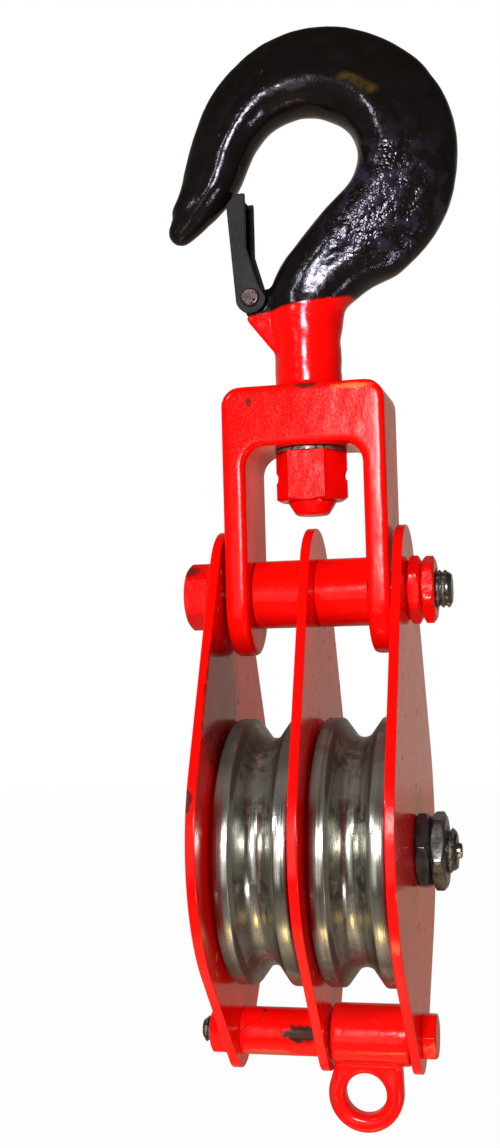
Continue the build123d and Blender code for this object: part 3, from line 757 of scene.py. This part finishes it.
upright = thread_tree.nodes.new("GeometryNodeSetCurveNormal")
upright.mode = "Z_UP"
thread_tree.links.new(spiral.outputs["Curve"], upright.inputs["Curve"])
ridge = thread_tree.nodes.new("GeometryNodeCurvePrimitiveCircle")
ridge.inputs["Resolution"].default_value = 4
thread_tree.links.new(thread_in["Depth"], ridge.inputs["Radius"])
sweep = thread_tree.nodes.new("GeometryNodeCurveToMesh")
sweep.inputs["Fill Caps"].default_value = True
thread_tree.links.new(upright.outputs["Curve"], sweep.inputs["Curve"])
thread_tree.links.new(ridge.outputs["Curve"], sweep.inputs["Profile Curve"])
lay_down = thread_tree.nodes.new("GeometryNodeTransform")
lay_down.inputs["Rotation"].default_value = (0, pi / 2, 0)
offset = thread_tree.nodes.new("ShaderNodeCombineXYZ")
thread_tree.links.new(thread_in["Start"], offset.inputs["X"])
thread_tree.links.new(thread_in["Level"], offset.inputs["Z"])
thread_tree.links.new(sweep.outputs["Mesh"], lay_down.inputs["Geometry"])
thread_tree.links.new(offset.outputs[0], lay_down.inputs["Translation"])
together = thread_tree.nodes.new("GeometryNodeJoinGeometry")
thread_tree.links.new(thread_in["Geometry"], together.inputs[0])
thread_tree.links.new(lay_down.outputs[0], together.inputs[0])
realize = thread_tree.nodes.new("GeometryNodeRealizeInstances")
thread_tree.links.new(together.outputs[0], realize.inputs[0])
paint = thread_tree.nodes.new("GeometryNodeSetMaterial")
thread_tree.links.new(realize.outputs[0], paint.inputs["Geometry"])
thread_tree.links.new(thread_in["Steel"], paint.inputs["Material"])
thread_out = thread_tree.nodes.new("NodeGroupOutput")
thread_tree.links.new(paint.outputs[0], thread_out.inputs[0])


def add_thread(piece, material, radius, pitch, depth, x_from, length, z):
    """Rolls a thread round the piece's core, from x_from towards +X."""
    roll = piece.modifiers.new("thread", "NODES")
    roll.node_group = thread_tree
    values = {
        "Radius": radius, "Pitch": pitch, "Turns": length / pitch,
        "Depth": depth, "Start": x_from, "Level": z,
    }
    for label, value in values.items():
        roll[thread_sockets[label]] = value
    roll[thread_sockets["Steel"]] = material
    return apply_modifiers(piece)


def make_bolt(name, flats, x_head, head_height, shank_r, thread_r, x_thread, x_end, pitch, turn, z, material):
    """Hex-headed bolt along X from its head's seat at x_head, with its thread from x_thread to x_end."""
    way = 1 if x_end > x_head else -1
    depth = pitch * thread_share
    core = thread_r - depth
    tip = 0.0010 * way
    hexagon = hex_radius(flats)
    face = flats / 2 * hex_face_share
    slope = tan(radians(30)) * way
    x_top = x_head - head_height * way
    rings = [
        plain(x_top, 0.0),
        plain(x_top, face),
        lambda a: (x_top + (hexagon(a) - face) * slope, hexagon(a)),
        lambda a: (x_head, hexagon(a)),
        plain(x_head, shank_r),
        plain(x_thread - tip, shank_r),
        plain(x_thread, core),
        plain(x_end - tip, core),
        plain(x_end, core - 0.0007),
        plain(x_end, 0.0),
    ]
    piece = soften(raised(lathe(name, rings, hex_sides, radians(turn)), z), edge_break, edge_angle)
    low, high = sorted((x_thread, x_end - tip))
    return add_thread(piece, material, thread_r, pitch, depth, low, high - low, z)


cheek_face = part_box("side_plate_right")[1].x
top_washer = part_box("top_bolt_washer")
top_flats = 0.019
top_head = 0.0075
top_r = 0.006
top_pitch = 0.00175
top_bolt = make_bolt(
    "top_bolt_and_thread", top_flats, top_washer[0].x, top_head, top_r, top_r, cheek_face,
    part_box("top_bolt")[1].x, top_pitch, 0, top_bolt_z, oiled_steel,
)
head_red = enamel(
    "bolt head red", lumps=0.0009, specular=0.15,
    # Painted shade: the upper facets of the bolt's head, on the left, are darkened.
    stains_and_painted_light=(((-0.0405, -0.004, top_bolt_z + 0.0075), (0.0060, 0.006, 0.0034), (0.06, 0.012, 0.01), 0.75),),
    **sprayed_red, Patch_Scale=110.0, Chip_Scale=420.0, Chip_Amount=0.06, Edge_Wear=0.14,
    Grime_Amount=0.10, Coat_Roughness=0.15,
)
finish_piece(top_bolt, oiled_steel, "cheeks", "dark_steel", "top_bolt")
top_bolt.data.materials.append(head_red)
for face in top_bolt.data.polygons:
    if face.center.x < -cheek_face:
        face.material_index = 1
washer = soften(merged_copy("top_bolt_washer", "thick_washer"), 0.0005)
finish_piece(washer, red_enamel, "cheeks", "red_paint", "top_bolt_washer")
nut_red = enamel(
    "nut red", lumps=0.0008, specular=0.15, **sprayed_red, Patch_Scale=130.0, Chip_Scale=420.0,
    Chip_Amount=0.05, Edge_Wear=0.12, Grime_Amount=0.12, Coat_Roughness=0.15,
)
for node, name, turn in (("top_bolt_nut", "thin_nut", 4.0), ("top_bolt_lock_nut", "thin_lock_nut", -9.0)):
    low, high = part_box(node)
    nut = make_nut(name, top_flats, low.x, high.x - low.x, top_r, turn, top_bolt_z)
    finish_piece(nut, nut_red, "cheeks", "red_paint", node)

# Spacers: cut tube on the bolts, which holds the cheeks apart; the lower one has a painted warm reflection
# along its underside.
# Both carry the cheeks' enamel; the lower one also has a near-black patch on its front, running to the centre
# cheek.
for node, name in (("top_spacer_left", "top_tube_left"), ("top_spacer_right", "top_tube_right")):
    tube = soften(merged_copy(node, name), 0.0004)
    finish_piece(tube, red_enamel, "cheeks", "red_paint", node)
spacer_red = enamel(
    "spacer red with painted reflection", lumps=0.0010, specular=0.15,
    stains_and_painted_light=(
        # A near-black patch on the front, running to the centre cheek.
        ((-0.0075, -0.0066, bottom_bolt_z + 0.0010), (0.0085, 0.006, 0.0034), (0.012, 0.010, 0.006), 0.97),
        # Painted reflection: a warm orange strip along the front of the underside.
        ((-0.0180, -0.0060, bottom_bolt_z - 0.0060), (0.0110, 0.006, 0.0022), (0.42, 0.12, 0.06), 0.6),
    ),
    **sprayed_red, Patch_Scale=90.0, Chip_Scale=330.0, Chip_Amount=0.05, Edge_Wear=0.08,
    Grime_Amount=0.12, Coat_Roughness=0.15,
)
bottom_tube = soften(merged_copy("bottom_spacer", "bottom_tube"), 0.0004)
finish_piece(bottom_tube, spacer_red, "cheeks", "red_paint", "bottom_spacer")

# Axle: a large bolt whose plain journal carries the sheaves' sleeves, with two thin nuts and a grease nipple.
# The bolt, nuts and sleeves are oiled black steel; the nipple in the axle's end is plated.
axle_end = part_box("axle")[1].x
axle_flats = 0.022
axle_head = 0.0085
axle_r = 0.008
axle_thread_r = 0.007
axle_pitch = 0.002
axle = make_bolt(
    "axle_bolt_and_thread", axle_flats, -cheek_face, axle_head, axle_r, axle_thread_r, cheek_face,
    axle_end, axle_pitch, 12, axle_z, oiled_steel,
)
finish_piece(axle, oiled_steel, "cheeks", "dark_steel", "axle")
for node, name, turn in (("axle_nut", "axle_thin_nut", 18.0), ("axle_lock_nut", "axle_outer_nut", 38.0)):
    low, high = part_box(node)
    nut = make_nut(name, axle_flats, low.x, high.x - low.x, axle_thread_r, turn, axle_z)
    finish_piece(nut, oiled_steel, "cheeks", "dark_steel", node)
for node in ("axle_sleeve_left", "axle_sleeve_right"):
    coat(node, oiled_steel)
plated = enamel(
    "plated nipple", lumps=0.0001, specular=0.5, Coat_Colour=(0.62, 0.56, 0.44),
    Thin_Colour=(0.40, 0.35, 0.27), Chip_Colour=(0.10, 0.08, 0.05), Grime_Colour=(0.03, 0.024, 0.018),
    Patch_Scale=400.0, Chip_Scale=900.0, Chip_Amount=0.04, Edge_Wear=0.0, Grime_Amount=0.5,
    Coat_Roughness=0.24,
)
make_metal(plated, 1.0)
coat("grease_nipple", plated)

# Sheaves: turned from steel bar, each with a rope groove between two flat lands and a recessed web.
# The lathe has left fine rings and the lands are bright; the steel is darker above and below the axle as
# painted shade, a painted shade line runs along the groove's lips, and grease specks lie in the groove.
sheave_r = (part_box("sheave_left")[1].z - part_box("sheave_left")[0].z) / 2
sheave_half = (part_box("sheave_left")[1].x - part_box("sheave_left")[0].x) / 2
bush_r = (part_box("sheave_bush_left")[1].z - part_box("sheave_bush_left")[0].z) / 2
groove_root = 0.0353
groove_mouth_half = 0.0065
groove_round = 0.0042
web_recess = 0.004
web_inner = 0.0185
web_outer = 0.0315
corner_break = 0.0004
land_break = 0.0009
sheave_sides = 160
groove_steps = 14
ring_scale, band_scale, stain_scale, speck_scale = 2600.0, 420.0, 70.0, 340.0
dull_steel, bright_steel = (0.24, 0.24, 0.205), (0.39, 0.39, 0.35)
tan_film, grease_and_shade_dark = (0.20, 0.18, 0.12), (0.030, 0.024, 0.016)
shade_starts, shade_full = 0.015, 0.031


def sheave_profile():
    """The sheave's outline as (x, radius), round from the bore on the right to the bore on the left."""
    right = [
        (sheave_half, bush_r), (sheave_half, web_inner - 0.0003), (sheave_half - corner_break, web_inner),
        (sheave_half - web_recess, web_inner + 0.001), (sheave_half - web_recess, web_outer - 0.001),
        (sheave_half - corner_break, web_outer), (sheave_half, web_outer + 0.0003),
        (sheave_half, sheave_r - land_break), (sheave_half - 0.0003, sheave_r - corner_break),
        (sheave_half - land_break, sheave_r), (groove_mouth_half + corner_break, sheave_r),
        (groove_mouth_half + 0.0001, sheave_r - 0.0001), (groove_mouth_half - 0.0002, sheave_r - 0.0005),
    ]
    middle_r = groove_root + groove_round
    groove = []
    for step in range(groove_steps + 1):
        angle = radians(30) + radians(120) * step / groove_steps
        groove.append((groove_round * cos(angle), middle_r - groove_round * sin(angle)))
    return right + groove + [(-x, radius) for x, radius in reversed(right)]


turned_steel, tree, shader, skin = new_finish("turned steel", lumps=0.00016, specular=0.3)
where = tree.nodes.new("ShaderNodeTexCoord").outputs["Object"]
split = tree.nodes.new("ShaderNodeSeparateXYZ")
tree.links.new(where, split.inputs[0])
above_axle = minus(tree, split.outputs["Z"], axle_z)
across = times(tree, split.outputs["Y"], split.outputs["Y"])
out_r = maths(tree, "SQRT", plus(tree, times(tree, above_axle, above_axle), across))
ring_place = tree.nodes.new("ShaderNodeCombineXYZ")
tree.links.new(split.outputs["X"], ring_place.inputs["X"])
tree.links.new(out_r, ring_place.inputs["Y"])
rings = noise_at(tree, ring_place.outputs[0], ring_scale, 2.0, 0.7)
bands = noise_at(tree, ring_place.outputs[0], band_scale, 2.0, 0.5)
stain_and_light = noise_at(tree, where, stain_scale, 3.0, 0.6)
speck = noise_at(tree, where, speck_scale, 4.0, 0.65)
steel = mix_colours(tree, remap(tree, bands, 0.35, 0.65), dull_steel, bright_steel)
steel = mix_colours(tree, times(tree, remap(tree, stain_and_light, 0.45, 0.7), 0.5), steel, tan_film)
# Painted shade: the steel darkens above and below the axle's level, broken up by noise.
shade_away_from_axle = remap(tree, maths(tree, "ABSOLUTE", above_axle), shade_starts, shade_full)
in_groove = remap(tree, out_r, sheave_r - 0.0004, sheave_r - 0.0030)
to_one_side = maths(tree, "ABSOLUTE", split.outputs["X"])
from_middle = maths(tree, "ABSOLUTE", minus(tree, to_one_side, middle("sheave_right").x))
from_lip = maths(tree, "ABSOLUTE", minus(tree, from_middle, groove_mouth_half - 0.0003))
# Painted shade: a dark line along each lip of the rope groove.
lip_shade = remap(tree, from_lip, 0.0009, 0.0003)
grease_and_shade = times(tree, shade_away_from_axle, remap(tree, plus(tree, stain_and_light, times(tree, speck, 0.4)), 0.35, 0.70))
grease_and_shade = plus(tree, times(tree, grease_and_shade, 0.85), times(tree, lip_shade, 0.75))
grease_and_shade = plus(tree, grease_and_shade, times(tree, in_groove, times(tree, remap(tree, speck, 0.45, 0.7), 0.35)))
grease_and_shade = maths(tree, "MINIMUM", grease_and_shade, 0.95)
# The grease specks and the painted shade turn the steel dark, dull and less metallic.
steel = mix_colours(tree, grease_and_shade, steel, grease_and_shade_dark)
tree.links.new(minus(tree, 1.0, times(tree, grease_and_shade, 0.85)), shader.inputs["Metallic"])
tree.links.new(steel, shader.inputs["Base Color"])
polish = plus(tree, remap(tree, rings, 0.3, 0.7, 0.16, 0.27), times(tree, grease_and_shade, 0.12))
tree.links.new(polish, shader.inputs["Roughness"])
tree.links.new(plus(tree, times(tree, rings, 0.45), times(tree, bands, 0.9)), skin.inputs["Height"])

for side in ("left", "right"):
    centre = middle(f"sheave_{side}")
    profile = [plain(centre.x + x, radius) for x, radius in sheave_profile()]
    sheave = soften(raised(lathe(f"turned_sheave_{side}", profile, sheave_sides), axle_z), 0.00015, 35)
    finish_piece(sheave, turned_steel, f"sheave_{side}", "turned_steel", f"sheave_{side}")

# Bushes: plain bronze sleeves, pressed into the sheaves and bored to turn on the axle's sleeves.
# They are turned bright and have been darkened by grease.
bronze = enamel(
    "bronze", lumps=0.0001, specular=0.5, Coat_Colour=(0.62, 0.38, 0.16),
    Thin_Colour=(0.45, 0.26, 0.10), Chip_Colour=(0.20, 0.10, 0.04), Grime_Colour=(0.03, 0.02, 0.012),
    Patch_Scale=160.0, Chip_Scale=700.0, Chip_Amount=0.05, Edge_Wear=0.05, Grime_Amount=0.6,
    Coat_Roughness=0.28,
)
make_metal(bronze, 1.0)
for node in ("sheave_bush_left", "sheave_bush_right"):
    coat(node, bronze)

# Bottom bolt: holds the cheeks' lower ends and carries the becket; put in from the right.
# Its head and nut were sprayed with the cheeks, and its threaded end has been left black.
bottom_flats = 0.013
bottom_r = 0.004
bottom_pitch = 0.00125
bottom_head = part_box("bottom_bolt")[1].x - cheek_face
bottom_bolt = make_bolt(
    "bottom_bolt_and_thread", bottom_flats, cheek_face, bottom_head, bottom_r, bottom_r, -cheek_face,
    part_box("bottom_bolt")[0].x, bottom_pitch, 21, bottom_bolt_z, oiled_steel,
)
finish_piece(bottom_bolt, oiled_steel, "cheeks", "dark_steel", "bottom_bolt")
bottom_bolt.data.materials.append(nut_red)
for face in bottom_bolt.data.polygons:
    if face.center.x > cheek_face:
        face.material_index = 1
low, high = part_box("bottom_bolt_nut")
bottom_nut = make_nut("small_nut", bottom_flats, low.x, high.x - low.x, bottom_r, 26, bottom_bolt_z)
finish_piece(bottom_nut, nut_red, "cheeks", "red_paint", "bottom_bolt_nut")

# Becket: a forged eye with a barrel on the bottom bolt, for the rope's dead end.
# The ring and the neck run into each other with forged fillets, and all of it is sprayed red.
# A darker red patch low on the becket, by the centre cheek.
becket_dark_patch = (((0.0010, -0.004, bottom_bolt_z - 0.018), (0.0020, 0.006, 0.012), (0.30, 0.02, 0.012), 0.5),)
becket_red = enamel(
    "becket red", lumps=0.0010, specular=0.15, stains_and_painted_light=becket_dark_patch, Coat_Colour=(0.80, 0.004, 0.003),
    Thin_Colour=(0.62, 0.005, 0.003), Chip_Colour=chip_brown, Grime_Colour=soot, Patch_Scale=95.0,
    Chip_Scale=330.0, Chip_Amount=0.03, Edge_Wear=0.08, Grime_Amount=0.08, Coat_Roughness=0.13,
)
becket_grain = 0.0004
becket = forge(merged_copy("becket_eye", "forged_becket"), becket_grain, 8)
finish_piece(becket, becket_red, "becket", "red_paint", "becket_eye")
